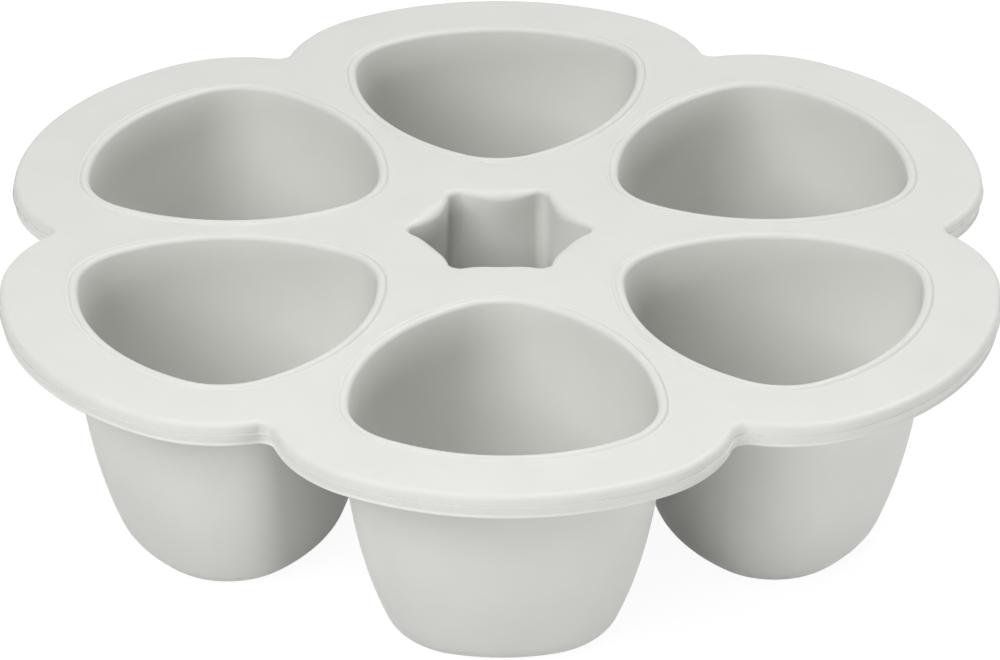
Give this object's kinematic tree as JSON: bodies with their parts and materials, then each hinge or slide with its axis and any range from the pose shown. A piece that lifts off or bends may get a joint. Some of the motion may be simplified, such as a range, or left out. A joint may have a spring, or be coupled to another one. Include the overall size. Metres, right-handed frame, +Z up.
{
  "type": "baby food freezer tray",
  "caption": "Flower-shaped soft silicone tray: a flat petalled deck with deep rounded-triangle cups hanging under it and a star-shaped hole in the middle, for freezing portions.",
  "frame": {"origin": "on the surface that the tray stands on, below the middle of the star-shaped hole", "axes": "+Z up, from the cups' floors to the deck; -Y towards the front cup; +X to the right, seen from the front"},
  "size_m": [0.229, 0.243, 0.0604],
  "materials": {
    "silicone": "soft matte food-grade silicone, pale warm grey"
  },
  "bodies": {
    "root": {"flower_deck": "silicone", "star_sleeve": "silicone", "cup_front": "silicone", "cup_front_right": "silicone", "cup_back_right": "silicone", "cup_back": "silicone", "cup_back_left": "silicone", "cup_front_left": "silicone"}
  },
  "joints": []
}
